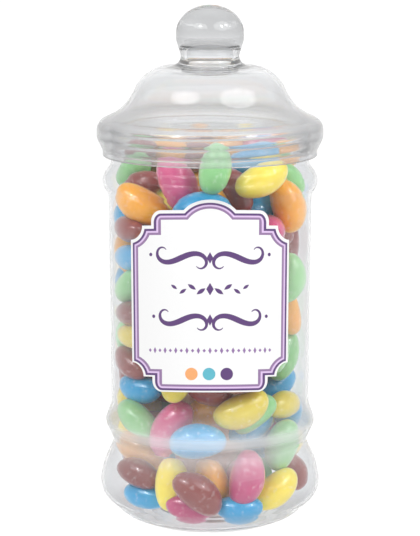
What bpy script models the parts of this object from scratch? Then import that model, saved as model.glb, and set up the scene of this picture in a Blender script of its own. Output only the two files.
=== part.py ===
"""A tall clear plastic sweet jar with a domed, knobbed lid, a plaque-shaped label and a fill of jelly beans.

Built in metres, +Z up, standing on the origin, with the label facing -Y. Four pieces, each a closed solid:
jar, lid, label and beans.
"""

import math
import random

import bpy

MM = 0.001
GAP = 0.3 * MM  # left between pieces that touch
SIDES = 32  # flat sides round every turned piece

# The jar, from its foot up: radii and heights of its outer wall.
JAR_WALL = 1.2 * MM
PUSH_UP_RADIUS = 22.0 * MM
PUSH_UP_HEIGHT = 2.5 * MM
FOOT_RADIUS = 29.9 * MM
HEEL_RADIUS = 37.1 * MM
HEEL_Z = 3.1 * MM
BASE_RADIUS = 47.4 * MM
BASE_Z = 12.8 * MM
BASE_SHOULDER_RADIUS = 44.8 * MM
BASE_SHOULDER_Z = 24.3 * MM
WAIST_RADIUS = 40.6 * MM
WAIST_Z = 33.6 * MM
LOW_BEAD_RADIUS = 44.4 * MM
LOW_BEAD_Z = 42.0 * MM
BODY_LOW_RADIUS = 41.7 * MM
BODY_LOW_Z = 49.4 * MM
BODY_HIGH_RADIUS = 42.4 * MM
BODY_HIGH_Z = 138.2 * MM
HIGH_BEAD_RADIUS = 46.5 * MM
HIGH_BEAD_Z = 144.9 * MM
NECK_RADIUS = 41.1 * MM
NECK_Z = 150.9 * MM
MOUTH_Z = 169.2 * MM

# The lid: a skirt, a fat rim, a bell-shaped dome and a ball knob with a core hole up its neck.
LID_WALL = 1.5 * MM
SKIRT_RADIUS = 44.8 * MM
SKIRT_LOW_Z = 154.4 * MM
SKIRT_HIGH_Z = 156.8 * MM
RIM_RADIUS = 47.3 * MM
RIM_LOW_Z = 162.0 * MM
RIM_HIGH_Z = 168.5 * MM
DOME_FOOT_RADIUS = 35.4 * MM
DOME_FOOT_Z = 174.2 * MM
DOME_RADIUS = 26.7 * MM
DOME_Z = 191.4 * MM
DOME_CROWN_Z = 191.9 * MM
DOME_INSIDE_ROUND = 14.5 * MM
KNOB_NECK_RADIUS = 12.2 * MM
KNOB_RADIUS = 14.1 * MM
KNOB_Z = 205.3 * MM
LID_TOP_Z = 216.8 * MM
CORE_RADIUS = 9.6 * MM
CORE_ROUND = 4.5 * MM
CORE_TOP_Z = 203.0 * MM

# The label, a thin sheet that follows the jar's wall: half widths along the wall, heights from its middle.
LABEL_MIDDLE_Z = 100.0 * MM
LABEL_THICKNESS = 0.3 * MM
LABEL_HALF_WIDTH = 36.1 * MM
LABEL_SCOOP_WIDTH = 6.6 * MM  # the scooped quarter round at each corner
LABEL_SCOOP_HEIGHT = 5.8 * MM
LABEL_STEP_HEIGHT = 31.3 * MM
LABEL_SHOULDER_WIDTH = 24.9 * MM
LABEL_SHOULDER_ROUND = 4.6 * MM
LABEL_EDGE_HEIGHT = 37.5 * MM
LABEL_ARCH_HEIGHT = 42.0 * MM
LABEL_ARCH_RADIUS = 14.5 * MM
LABEL_DIP = 0.173  # the sides hang lower than the middle, by this share of how far the wall curves back
LABEL_COLUMN = 2.6 * MM  # widest stretch between two columns of the sheet

# The fill: a heap of beans out to its uneven outline.
BEAN_LENGTH = 23.0 * MM
BEAN_WIDTH = 14.0 * MM
FILL_EDGE_Z = 162.5 * MM
FILL_CROWN = 1.2 * MM  # how much higher the heap is in the middle
FILL_RELIEF = 4.5 * MM  # how deep the hollows between beans are
FILL_CLEARANCE = 0.6 * MM
FILL_SIDES = 40
FILL_RINGS = 27
FILL_TOP_RINGS = 4
SEED = 11


def clear_scene():
    """Starts from an empty file."""
    for thing in list(bpy.data.objects):
        bpy.data.objects.remove(thing, do_unlink=True)


def make_material(name, colour, roughness, transmission=0.0):
    """A Principled material for one piece."""
    material = bpy.data.materials.new(name)
    material.use_nodes = True
    shader = material.node_tree.nodes["Principled BSDF"]
    shader.inputs["Base Color"].default_value = (*colour, 1.0)
    shader.inputs["Roughness"].default_value = roughness
    shader.inputs["Metallic"].default_value = 0.0
    shader.inputs["Transmission Weight"].default_value = transmission
    return material


def round_corners(corners, arc_step=24.0):
    """Points (radius, z) along straight runs between corners (radius, z, fillet), each fillet an arc."""
    points = [corners[0][:2]]
    for before, corner, after in zip(corners, corners[1:], corners[2:]):
        radius, z, fillet = corner
        into = math.atan2(z - before[1], radius - before[0])
        out = math.atan2(after[1] - z, after[0] - radius)
        turn = (out - into + math.pi) % (2 * math.pi) - math.pi
        if fillet == 0 or abs(turn) < 0.01:
            points.append((radius, z))
            continue
        setback = fillet * math.tan(abs(turn) / 2)
        side = math.copysign(fillet, turn)
        start = (radius - setback * math.cos(into), z - setback * math.sin(into))
        centre = (start[0] - side * math.sin(into), start[1] + side * math.cos(into))
        steps = max(1, round(math.degrees(abs(turn)) / arc_step))
        for i in range(steps + 1):
            heading = into + turn * i / steps
            points.append((centre[0] + side * math.sin(heading), centre[1] - side * math.cos(heading)))
    points.append(corners[-1][:2])
    return points


def inset(corners, wall):
    """The same run of corners moved to its left by the wall's thickness, for the other face of a wall."""
    moved = []
    for i, (radius, z, fillet) in enumerate(corners):
        before = corners[max(i - 1, 0)]
        after = corners[min(i + 1, len(corners) - 1)]
        into = math.atan2(z - before[1], radius - before[0]) if i > 0 else None
        out = math.atan2(after[1] - z, after[0] - radius) if i < len(corners) - 1 else into
        into = out if into is None else into
        turn = (out - into + math.pi) % (2 * math.pi) - math.pi
        middle = into + turn / 2
        reach = wall / math.cos(turn / 2)
        smaller = wall if turn > 0 else -wall
        moved.append((radius - reach * math.sin(middle), z + reach * math.cos(middle), max(fillet - smaller, 0)))
    return moved


def jar_wall():
    """Corners of the jar's outer wall, from the heel up to the neck."""
    return [
        (PUSH_UP_RADIUS + PUSH_UP_HEIGHT, 0.0, 0.0),
        (FOOT_RADIUS, 0.0, 4 * MM),
        (HEEL_RADIUS, HEEL_Z, 12 * MM),
        (BASE_RADIUS, BASE_Z, 10 * MM),
        (BASE_SHOULDER_RADIUS, BASE_SHOULDER_Z, 12 * MM),
        (WAIST_RADIUS, WAIST_Z, 2 * MM),
        (LOW_BEAD_RADIUS, LOW_BEAD_Z, 4.5 * MM),
        (BODY_LOW_RADIUS, BODY_LOW_Z, 7 * MM),
        (BODY_HIGH_RADIUS, BODY_HIGH_Z, 8 * MM),
        (HIGH_BEAD_RADIUS, HIGH_BEAD_Z, 6.5 * MM),
        (NECK_RADIUS, NECK_Z, 6 * MM),
    ]


def jar_outline():
    """The jar's section: under its foot, up its outer wall, over the lip and down its inner wall."""
    foot = [(0.0, PUSH_UP_HEIGHT, 0.0), (PUSH_UP_RADIUS, PUSH_UP_HEIGHT, 0.0)]
    lip = [(NECK_RADIUS, MOUTH_Z, 0.0)]
    outer = foot + jar_wall() + lip
    inner = inset(outer, JAR_WALL)
    inner[0] = (0.0, PUSH_UP_HEIGHT + JAR_WALL, 0.0)
    inner[-1] = (NECK_RADIUS - JAR_WALL, MOUTH_Z, 0.0)
    return round_corners(outer + inner[::-1], arc_step=30.0)


def lid_outline():
    """The lid's section: down from the knob's top, over the dome to the skirt, and back up inside."""
    steps = 5
    knob_height = LID_TOP_Z - KNOB_Z
    knob = []
    for i in range(steps):
        angle = math.radians(90 * i / steps)
        knob.append((KNOB_RADIUS * math.sin(angle), KNOB_Z + knob_height * math.cos(angle)))
    shell = [
        (KNOB_RADIUS, KNOB_Z + 2 * MM, 0.0),
        (KNOB_RADIUS, KNOB_Z - 3 * MM, 4 * MM),
        (KNOB_NECK_RADIUS, KNOB_Z - 9 * MM, 3 * MM),
        (KNOB_NECK_RADIUS, DOME_CROWN_Z, 3.9 * MM),
        (DOME_RADIUS, DOME_Z, 16 * MM),
        (DOME_FOOT_RADIUS, DOME_FOOT_Z, 18.6 * MM),
        (RIM_RADIUS, RIM_HIGH_Z, 5.4 * MM),
        (RIM_RADIUS, RIM_LOW_Z, 5 * MM),
        (SKIRT_RADIUS, SKIRT_HIGH_Z, 3 * MM),
        (SKIRT_RADIUS, SKIRT_LOW_Z, 0.4 * MM),
    ]
    outer_dome = shell[4:]
    inside = inset(outer_dome, -LID_WALL)
    inside[-1] = (SKIRT_RADIUS - LID_WALL, SKIRT_LOW_Z, 0.4 * MM)
    inside[0] = (DOME_RADIUS - LID_WALL, DOME_Z - LID_WALL, DOME_INSIDE_ROUND)
    core = [
        (CORE_RADIUS, DOME_Z - LID_WALL, 1.5 * MM),
        (CORE_RADIUS, CORE_TOP_Z, CORE_ROUND),
        (0.0, CORE_TOP_Z, 0.0),
    ]
    return knob + round_corners(shell + inside[::-1] + core, arc_step=26.0)


def add_object(name, vertices, faces, material):
    """One smooth-shaded object from its vertices and faces."""
    mesh = bpy.data.meshes.new(name)
    mesh.from_pydata(vertices, [], faces)
    mesh.update()
    mesh.materials.append(material)
    mesh.shade_smooth()
    mesh.set_sharp_from_angle(angle=math.radians(40))
    piece = bpy.data.objects.new(name, mesh)
    bpy.context.scene.collection.objects.link(piece)
    return piece


def turn(rings, start, end):
    """Vertices and outward faces of a closed shape from rings of points between two poles on the axis."""
    sides = len(rings[0])
    vertices = [start]
    for ring in rings:
        vertices.extend(ring)
    vertices.append(end)
    faces = []
    for i in range(sides):
        j = (i + 1) % sides
        faces.append((0, 1 + j, 1 + i))
        for k in range(len(rings) - 1):
            low = 1 + k * sides
            high = low + sides
            faces.append((low + i, low + j, high + j, high + i))
        last = 1 + (len(rings) - 1) * sides
        faces.append((last + i, last + j, len(vertices) - 1))
    return vertices, faces


def turned_piece(name, outline, material):
    """A turned piece from its section, which starts and ends on the axis and rises on its outer side."""
    angles = [2 * math.pi * i / SIDES for i in range(SIDES)]
    rings = []
    for radius, z in outline[1:-1]:
        rings.append([(radius * math.cos(a), radius * math.sin(a), z) for a in angles])
    vertices, faces = turn(rings, (0.0, 0.0, outline[0][1]), (0.0, 0.0, outline[-1][1]))
    return add_object(name, vertices, faces, material)


def radius_at(outline, z):
    """The radius of a rising section at a height, by straight interpolation."""
    for (low_radius, low_z), (high_radius, high_z) in zip(outline, outline[1:]):
        if low_z <= z <= high_z and high_z > low_z:
            return low_radius + (high_radius - low_radius) * (z - low_z) / (high_z - low_z)
    return outline[-1][0]


def make_jar():
    """The jar: a blown body with a waist, two beads and a plain neck."""
    material = make_material("clear_jar_plastic", (0.97, 0.97, 0.98), 0.03, transmission=1.0)
    return turned_piece("jar", jar_outline(), material)


def make_lid():
    """The lid: its dome is hollow, with a core hole up into the knob."""
    material = make_material("clear_lid_plastic", (0.96, 0.96, 0.96), 0.05, transmission=1.0)
    return turned_piece("lid", lid_outline()[::-1], material)


def label_top(across):
    """Height of the label's upper edge over its middle, at a distance along the wall from its centre."""
    if across < arch_half_width():
        arch_middle = LABEL_ARCH_HEIGHT - LABEL_ARCH_RADIUS
        return arch_middle + math.sqrt(LABEL_ARCH_RADIUS**2 - across**2)
    return label_foot(across)


def arch_half_width():
    """Where the arch over the label's middle meets its straight upper edge."""
    rise = LABEL_EDGE_HEIGHT - LABEL_ARCH_HEIGHT + LABEL_ARCH_RADIUS
    return math.sqrt(LABEL_ARCH_RADIUS**2 - rise**2)


def label_foot(across):
    """Depth of the label's lower edge under its middle: straight, then a round shoulder, a step and a scoop."""
    round_start = LABEL_SHOULDER_WIDTH - LABEL_SHOULDER_ROUND
    if across <= round_start:
        return LABEL_EDGE_HEIGHT
    if across <= LABEL_SHOULDER_WIDTH:
        over = (across - round_start) / LABEL_SHOULDER_ROUND
        return LABEL_STEP_HEIGHT + (LABEL_EDGE_HEIGHT - LABEL_STEP_HEIGHT) * math.sqrt(max(0, 1 - over**2))
    if across <= LABEL_HALF_WIDTH - LABEL_SCOOP_WIDTH:
        return LABEL_STEP_HEIGHT
    scoop = min(1, (LABEL_HALF_WIDTH - across) / LABEL_SCOOP_WIDTH)
    return LABEL_STEP_HEIGHT - LABEL_SCOOP_HEIGHT * math.sqrt(1 - scoop**2)


def label_columns():
    """Distances from the label's centre at which its sheet has a column of points."""
    edges = [
        0.0,
        arch_half_width(),
        LABEL_SHOULDER_WIDTH - LABEL_SHOULDER_ROUND,
        LABEL_SHOULDER_WIDTH,
        LABEL_HALF_WIDTH - LABEL_SCOOP_WIDTH,
        LABEL_HALF_WIDTH,
    ]
    columns = [0.0]
    for low, high in zip(edges, edges[1:]):
        steps = max(1, math.ceil((high - low) / LABEL_COLUMN))
        columns.extend(low + (high - low) * i / steps for i in range(1, steps + 1))
    return [-c for c in columns[:0:-1]] + columns


def make_label():
    """The label: a thin sheet with an ornamental outline, held just off the jar's wall."""
    wall = round_corners(jar_wall() + [(NECK_RADIUS, MOUTH_Z, 0.0)])
    rows = [0.0, 0.35, 0.7, 0.88, 0.95, 1.0]
    middle_radius = radius_at(wall, LABEL_MIDDLE_Z)
    columns = label_columns()
    vertices = []
    for depth in (GAP, GAP + LABEL_THICKNESS):
        for across in columns:
            angle = across / middle_radius
            middle_z = LABEL_MIDDLE_Z - LABEL_DIP * middle_radius * (1 - math.cos(angle))
            low = middle_z - label_foot(abs(across))
            high = middle_z + label_top(abs(across))
            for share in rows:
                z = low + (high - low) * share
                radius = radius_at(wall, z) + depth
                vertices.append((radius * math.sin(angle), -radius * math.cos(angle), z))
    count = len(rows)
    back = len(columns) * count
    faces = []
    for i in range(len(columns) - 1):
        for k in range(count - 1):
            a = i * count + k
            b = a + count
            faces.append((back + a, back + b, back + b + 1, back + a + 1))
            faces.append((a, a + 1, b + 1, b))
    around = [i * count for i in range(len(columns))]
    around += [(len(columns) - 1) * count + k for k in range(1, count)]
    around += [i * count + count - 1 for i in range(len(columns) - 2, -1, -1)]
    around += [k for k in range(count - 2, 0, -1)]
    for a, b in zip(around, around[1:] + around[:1]):
        faces.append((a, b, back + b, back + a))
    material = make_material("printed_label", (0.95, 0.94, 0.96), 0.35)
    return add_object("label", vertices, faces, material)


def bean_swells(length, height, dice):
    """Beans on a sheet of this size, in staggered rows: (along, up, half length, half width)."""
    rows = round(height / (BEAN_WIDTH * 0.95))
    columns = round(length / (BEAN_LENGTH * 0.88))
    swells = []
    for row in range(rows):
        for i in range(-1, columns + 1):
            along = (i + 0.5 * (row % 2) + dice.uniform(-0.15, 0.15)) * length / columns
            up = (row + 0.5 + dice.uniform(-0.12, 0.12)) * height / rows
            half_length = BEAN_LENGTH / 2 * dice.uniform(0.9, 1.15)
            half_width = BEAN_WIDTH / 2 * dice.uniform(0.95, 1.2)
            swells.append((along, up, half_length, half_width))
    return swells


def swell_height(swells, along, up):
    """From 0 in a hollow between beans to 1 on the middle of a bean."""
    best = 0.0
    for middle_along, middle_up, half_length, half_width in swells:
        across = (along - middle_along) / half_length
        rise = (up - middle_up) / half_width
        best = max(best, 1 - across**2 - rise**2)
    return math.sqrt(best)


def make_beans():
    """The fill: one solid just inside the jar's wall, with a bean-sized relief on its side and top."""
    dice = random.Random(SEED)
    wall = round_corners(inset(jar_wall() + [(NECK_RADIUS, MOUTH_Z, 0.0)], JAR_WALL))
    round_length = 2 * math.pi * BODY_LOW_RADIUS
    side_swells = bean_swells(round_length, FILL_EDGE_Z, dice)
    top_swells = bean_swells(2 * BODY_LOW_RADIUS, 2 * BODY_LOW_RADIUS, dice)
    angles = [2 * math.pi * i / FILL_SIDES for i in range(FILL_SIDES)]
    floor_z = PUSH_UP_HEIGHT + JAR_WALL + FILL_CLEARANCE
    step = (FILL_EDGE_Z - floor_z) / (FILL_RINGS - 1)
    rings = []
    for k in range(FILL_RINGS):
        z = floor_z + step * k
        nearby = [radius_at(wall, z + step * share) for share in (-0.7, -0.35, 0, 0.35, 0.7)]
        room = min(nearby) - FILL_CLEARANCE
        ring = []
        for a in angles:
            hollow = FILL_RELIEF * (1 - swell_height(side_swells, a * BODY_LOW_RADIUS, z))
            ring.append(((room - hollow) * math.cos(a), (room - hollow) * math.sin(a), z))
        rings.append(ring)
    edge = rings[-1]
    for k in range(1, FILL_TOP_RINGS + 1):
        share = 1 - k / (FILL_TOP_RINGS + 0.5)
        ring = []
        for x, y, z in edge:
            lump = swell_height(top_swells, x * share + BODY_LOW_RADIUS, y * share + BODY_LOW_RADIUS)
            height = z + FILL_CROWN * (1 - share**2) + FILL_RELIEF * (lump - 0.5)
            ring.append((x * share, y * share, height))
        rings.append(ring)
    top_z = FILL_EDGE_Z + FILL_CROWN
    material = make_material("candy_shell", (0.75, 0.55, 0.5), 0.25)
    vertices, faces = turn(rings, (0.0, 0.0, floor_z), (0.0, 0.0, top_z))
    return add_object("beans", vertices, faces, material)


def main():
    clear_scene()
    make_jar()
    make_lid()
    make_label()
    make_beans()


main()
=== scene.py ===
"""Looks of a clear plastic sweet jar full of jelly beans: plastic, beans, label, floor and light."""

import math

import bpy
import numpy as np
from mathutils import Matrix, Quaternion, Vector
from mathutils.geometry import delaunay_2d_cdt


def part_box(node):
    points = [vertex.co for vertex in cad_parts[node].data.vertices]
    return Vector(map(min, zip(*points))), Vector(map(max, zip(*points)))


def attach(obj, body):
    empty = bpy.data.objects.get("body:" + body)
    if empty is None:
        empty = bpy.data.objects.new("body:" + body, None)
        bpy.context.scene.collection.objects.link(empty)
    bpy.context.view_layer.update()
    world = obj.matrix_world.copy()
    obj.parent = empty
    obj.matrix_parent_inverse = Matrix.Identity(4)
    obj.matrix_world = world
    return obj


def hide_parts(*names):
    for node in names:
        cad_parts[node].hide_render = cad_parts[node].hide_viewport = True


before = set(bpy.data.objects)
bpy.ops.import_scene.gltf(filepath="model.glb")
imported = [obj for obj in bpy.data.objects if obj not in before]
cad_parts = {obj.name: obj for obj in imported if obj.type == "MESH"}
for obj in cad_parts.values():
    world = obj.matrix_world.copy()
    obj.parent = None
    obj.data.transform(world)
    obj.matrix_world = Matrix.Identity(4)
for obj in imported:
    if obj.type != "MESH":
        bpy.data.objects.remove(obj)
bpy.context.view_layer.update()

MM = 0.001
BODY = "root"

FOOT_ROUND = 1.2

# Corners of the jar's outer wall, from the foot up: radius, height, fillet, in millimetres.
JAR_CORNERS = [
    (24.5, 0.0, FOOT_ROUND),
    (29.9, 0.0, 4.0),
    (37.1, 3.1, 12.0),
    (47.4, 12.8, 10.0),
    (44.8, 24.3, 12.0),
    (40.6, 33.6, 2.0),
    (44.4, 42.0, 4.5),
    (41.7, 49.4, 7.0),
    (42.4, 138.2, 8.0),
    (46.5, 144.9, 6.5),
    (41.1, 150.9, 6.0),
]
JAR_WALL = 1.2
PUSH_UP_RADIUS = 22.0
PUSH_UP_HEIGHT = 2.5
NECK_RADIUS = 41.1
LIP_ROUND = 0.5

# Corners of the lid's outer face, from the knob's widest ring down to the skirt's edge.
LID_CORNERS = [
    (14.1, 205.3, 0.0),
    (14.1, 202.3, 4.0),
    (12.2, 196.3, 3.0),
    (12.2, 191.9, 3.9),
    (26.7, 191.4, 16.0),
    (35.4, 174.2, 18.6),
    (47.26, 168.5, 5.4),
    (47.26, 162.0, 5.0),
    (44.8, 156.8, 3.0),
    (44.8, 154.4, 0.6),
]
LID_DOME_CORNER = 4  # the first corner whose wall is hollow behind
LID_WALL = 1.5
DOME_INSIDE_ROUND = 14.5
KNOB_RADIUS = 14.1
KNOB_Z = 205.3
CORE_RADIUS = 9.6
CORE_ROUND = 4.5
CORE_TOP_Z = 203.0
CORE_FOOT_ROUND = 1.5
KNOB_STEPS = 18

# How much light one wall lets through by height, and the share of it that goes straight on. The greys and
# dark bands in the first of these tables are painted shade. Besides the plastic's own faint colour, they
# stand in for the darker reflections and the thick plastic of the knob, rim and skirt. Where less light
# goes straight on, the wall turns milky: a painted veil of reflection over some real haze.
JAR_TINT_PAINTED_SHADE = [(0.0, 0.93), (35.0, 0.92), (36.5, 0.82), (38.0, 0.92), (140.0, 0.92), (170.0, 0.9)]
PLASTIC_COLOUR = (0.975, 0.985, 1.0)
# Painted reflection: the milky dips, deepest at the waist, stand in for the bright table and lamps mirrored
# in the wall.
JAR_CLEARNESS_PAINTED_VEIL = [
    (0.0, 0.75), (4.0, 0.8), (9.0, 0.97), (22.0, 0.97), (28.0, 0.92), (33.0, 0.8), (37.5, 0.77),
    (39.5, 0.64), (41.5, 0.66), (44.0, 0.86), (52.0, 0.95), (60.0, 0.99), (84.0, 0.93), (118.0, 0.93),
    (130.0, 0.99), (155.0, 0.98), (170.0, 0.95),
]
# Painted shade: the darker knob and the dark bands down the skirt.
LID_TINT_PAINTED_SHADE = [
    (154.0, 0.72), (156.5, 0.88), (158.5, 0.7), (160.5, 0.88), (162.5, 0.7), (164.5, 0.9), (166.5, 0.76),
    (168.5, 0.9), (170.5, 0.84), (174.0, 0.9), (182.0, 0.89), (190.0, 0.95), (195.0, 0.93), (199.0, 0.84),
    (203.0, 0.66), (206.0, 0.56), (212.0, 0.56), (217.0, 0.8),
]
# Painted reflection: a milky veil over the skirt and rim, on top of some real haze from the doubled walls.
LID_CLEARNESS_PAINTED_VEIL = [
    (154.0, 0.9), (158.0, 0.86), (166.0, 0.86), (169.0, 0.78), (173.0, 0.86), (178.0, 0.95), (217.0, 0.97),
]

# How much of that light is left where a wall is seen edge-on, by height. This is painted shade that darkens
# the walls towards their outlines. It stands in for dark reflections there as well as for the longer path
# through the plastic.
JAR_EDGE_PAINTED_SHADE = [(0.0, 0.5), (10.0, 0.5), (18.0, 0.68), (30.0, 0.6), (46.0, 0.5), (54.0, 0.74), (170.0, 0.74)]
LID_EDGE_PAINTED_SHADE = [
    (154.0, 0.05), (168.0, 0.1), (174.0, 0.5), (190.0, 1.0), (196.0, 0.45), (205.0, 0.2), (217.0, 0.5),
]
EDGE_SHARPNESS = 1.8

# How strongly a wall bends and mirrors light, how far its surface wanders in metres, and over what scale.
JAR_FINISH = {"ior": 1.25, "gloss": 0.6, "roughness": 0.02}
LID_FINISH = {"ior": 1.46, "gloss": 1.0, "roughness": 0.04}
JAR_RIPPLE = {"Ripple": 0.00006, "Ripple Scale": 35.0}
LID_RIPPLE = {"Ripple": 0.00012, "Ripple Scale": 30.0}
RIPPLE_START = 200.0  # the walls' unevenness fades out towards the axis, from 1 / 200 m off it
WELD = 0.00002  # points nearer than this are one point, in metres

# The studio's backdrop by the sine of the height over the horizon, and the dimmer room behind the viewer.
STUDIO_LIGHT = [(0.0, 1.0), (0.45, 1.0), (0.7, 0.75), (1.0, 0.7)]
ROOM_LIGHT = 0.4
ROOM_SIDE = (0.3, -0.9)  # from here to here, along Y, the backdrop gives way to the room
ROOM_RISE = (0.0, 0.4)  # and so it does with the height over the horizon

# Lights that face the jar's middle: name, degrees to the right of straight in front, degrees up,
# distance, width and height in metres, watts.
LIGHTS = [
    ("left_softbox", -40, 41, 1.2, 1.02, 0.54, 4.3),
    ("right_softbox", 48, 40, 1.2, 1.17, 0.84, 6.0),
    ("left_lamp", -40, 41, 1.19, 0.2, 0.2, 1.6),
    ("right_lamp", 48, 40, 1.19, 0.2, 0.2, 1.6),
]
MIDDLE = Vector((0.0, 0.0, 0.1065))  # what the camera and the lights face
CAMERA_TILT = 9.8
CAMERA_DISTANCE = 1.0504
LENS_LENGTH = 167.91
LENS_SENSOR = 36.0
TABLE_HALF = 8.0

# The screw thread between neck and skirt.
THREAD_PITCH = 4.4
THREAD_DEPTH = 1.1
THREAD_LOW_Z = 156.0
THREAD_HIGH_Z = 167.0
THREAD_FADE = 700.0  # one over the height in metres within which the thread fades out at its ends
THREAD_SHARPNESS = 1.5
THREAD_STEP = 0.35

# The label's plaque, in millimetres along the wall and up from its middle.
PLAQUE_SIDE = 36.1
PLAQUE_SHOULDER = 24.9
PLAQUE_SHOULDER_ROUND = 4.6
PLAQUE_SCOOP_WIDE = 6.6
PLAQUE_SCOOP_TALL = 5.8
PLAQUE_STEP = 31.3
PLAQUE_FOOT = 37.5
PLAQUE_ARCH_TOP = 42.0
PLAQUE_ARCH_ROUND = 14.5
PLAQUE_DIP = 0.173  # the sides hang lower than the middle, by this share of how far the wall curves back
PRINT_DROP = 0.35  # how much lower than the paper the print sits
SIDE_SPREAD = 1.3  # how much wider the bands are at the sides than at the top
PLAQUE_BANDS = [("white", 0.98), ("deep_purple", 0.9), ("pale_lilac", 0.72), ("lilac", 0.95)]
LABEL_STEP = 1.6  # longest straight stretch of a printed outline
LABEL_GRID = 2.5
LABEL_GAP = 0.25
LABEL_THICKNESS = 0.15
SCROLL_HAIRLINE = 0.3
SCROLL_ROWS = [(18.0, 21.0, -24.0), (-7.5, 20.0, -24.0)]
SPRIG_Z = 5.2
SPRIG_LEAVES = 4
SPRIG_GAP = 3.7
DIAMOND_Z = -20.2
DIAMOND_PAIRS = 11
DIAMOND_GAP = 2.35
DISC_Z = -29.9
DISC_RADIUS = 2.6
DISCS = [("orange", -7.6), ("teal", -0.4), ("deep_purple", 6.8)]
INKS = {
    "white": (0.8, 0.8, 0.8),
    "pale_lilac": (0.66, 0.49, 0.74),
    "lilac": (0.27, 0.165, 0.32),
    "mid_purple": (0.26, 0.15, 0.34),
    "deep_purple": (0.095, 0.04, 0.16),
    "orange": (0.80, 0.36, 0.14),
    "teal": (0.10, 0.42, 0.52),
}

ARC_STEP = 5.0  # degrees of a fillet between two points of a section
RUN_STEP = 2.0  # widest gap between two points of a section's straight run
TURNED_STEPS = 160

# The beans, in millimetres.
BEAN_LENGTH = 23.2
BEAN_WIDTH = 13.8
BLUNT_GIRTH = 0.06  # how much blunter than an oval a bean's ends are
BLUNT_END = 0.04
BLUNT_LIMIT = 0.04
BEND_MIDDLE = 0.35  # keeps a bent bean's weight in its middle
BEAN_COUNT = 225
CEILING_Z = 163.0
CEILING_TILT = 2.0  # how much higher the heap is at the front
CEILING_CROWN = 0.5
CORE_LUMP_RADIUS = 14.0
CORE_LUMP_TOP_Z = 140.0
SKIN_POINTS = 64
SKIN_GAP = 0.35
BEAN_REACH = 41.6  # in the wide base the beans stay this near the middle
FRONT_SQUEEZE = 1.3  # a front bean fits where it presses no further than this into those set before it
WALL_WEIGHT = 8.0  # a front bean would rather press into its neighbours than into the wall
LAST_PUSHES = 15
HIDDEN_REACH = 27.0  # the label hides the beans this far out from its middle and up and down from it
HIDDEN_Z = 101.0
HIDDEN_RISE = 30.0
WORST_OVERLAP = 3.0  # a loose bean pressed further than this into another is taken out
SETTLING_STEPS = 420
SEED = 23

# Beans that show at the front, nearest first: colour, across and up on the upright plane through the
# jar's front, lean from level and swing of the right end towards the viewer in degrees, size.
FRONT_PLANE = 34.0
VIEW_WAY = (0.0, 0.985, -0.17)
FRONT_BEANS = [
    ("pink", 15, 24, 80, 0, 1.06),
    ("maroon", -5, 18, -39, 0, 1.04),
    ("yellow", 27, 18, 37, -20, 0.98),
    ("yellow", -16, 21, 86, 0, 1.02),
    ("maroon", -30, 25, -18, 30, 0.86),
    ("blue", -27, 15, -5, 28, 0.86),
    ("orange", 1, 22, -70, 0, 0.96),
    ("blue", 12, 11, 0, 0, 0.86),
    ("pink", -7, 12, 0, 0, 0.96),
    ("yellow", 21, 149, 27, -15, 1.00),
    ("green", 2, 153, 80, 0, 0.96),
    ("orange", -28, 139, -28, 15, 1.06),
    ("orange", 32, 139, -74, 0, 1.04),
    ("blue", -3, 136, 3, 0, 1.06),
    ("maroon", 11, 144, -72, 0, 0.90),
    ("pink", -13, 147, -66, 0, 1.10),
    ("maroon", -33, 129, -10, 60, 0.76),
    ("maroon", -29, 146, 35, 25, 0.92),
    ("green", -32, 154, 54, 35, 0.94),
    ("blue", 19, 137, 8, -20, 0.92),
    ("blue", 18, 158, 16, -15, 0.98),
    ("green", 33, 149, -62, -25, 0.90),
    ("maroon", 27, 128, -32, -20, 0.82),
    ("orange", 26, 133, -20, -20, 0.80),
    ("maroon", 33, 123, 86, 0, 0.84),
    ("orange", 31, 161, -10, -50, 0.85),
    ("maroon", -30, 162, 34, 40, 0.85),
    ("orange", -19, 162, -6, 10, 0.96),
    ("maroon", -6, 160, 6, 0, 0.92),
    ("blue", -33, 117, 10, 60, 0.78),
    ("green", -33, 105, 62, 40, 0.84),
    ("maroon", -33, 93, 0, 60, 0.76),
    ("yellow", -32, 84, 8, 55, 0.72),
    ("maroon", -33, 72, -38, 40, 0.80),
    ("green", 33, 108, 80, 0, 0.94),
    ("orange", 33, 93, -80, -10, 0.84),
    ("yellow", 30, 95, 70, 0, 0.80),
    ("green", 31, 75, 74, -10, 0.98),
    ("blue", -29, 61, -6, 30, 0.88),
    ("blue", -5, 40, 3, 0, 1.04),
    ("pink", -16, 45, 61, 5, 1.10),
    ("yellow", 13, 53, 25, -5, 1.04),
    ("green", 18, 51, 38, -10, 0.95),
    ("blue", 17, 45, 34, -10, 0.95),
    ("yellow", -14, 67, 85, 0, 0.98),
    ("maroon", -1, 62, -24, 0, 0.98),
    ("orange", 0, 52, 8, 0, 0.92),
    ("green", -30, 48, -40, 25, 0.90),
    ("blue", 29, 62, 36, -35, 0.88),
    ("yellow", -34, 55, -60, 45, 0.76),
    ("yellow", 31, 54, 0, -55, 0.84),
    ("green", 30, 37, 74, 0, 0.98),
    ("maroon", 35, 25, -62, -20, 0.84),
    ("orange", -29, 34, -28, 22, 0.98),
    ("orange", 9, 41, 20, 0, 0.85),
    ("green", -4, 33, 0, 0, 0.90),
]
BEAN_COLOURS = {
    "maroon": (0.235, 0.03, 0.022),
    "yellow": (0.78, 0.63, 0.06),
    "pink": (0.54, 0.055, 0.19),
    "green": (0.25, 0.58, 0.22),
    "blue": (0.004, 0.31, 0.58),
    "orange": (0.80, 0.345, 0.001),
}


# ---------------------------------------------------------------- sections


def turn_between(before, corner, after):
    """The headings into and out of a corner, and the turn between them."""
    into = math.atan2(corner[1] - before[1], corner[0] - before[0])
    out = math.atan2(after[1] - corner[1], after[0] - corner[0])
    turn = (out - into + math.pi) % (2 * math.pi) - math.pi
    return into, out, turn


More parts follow.
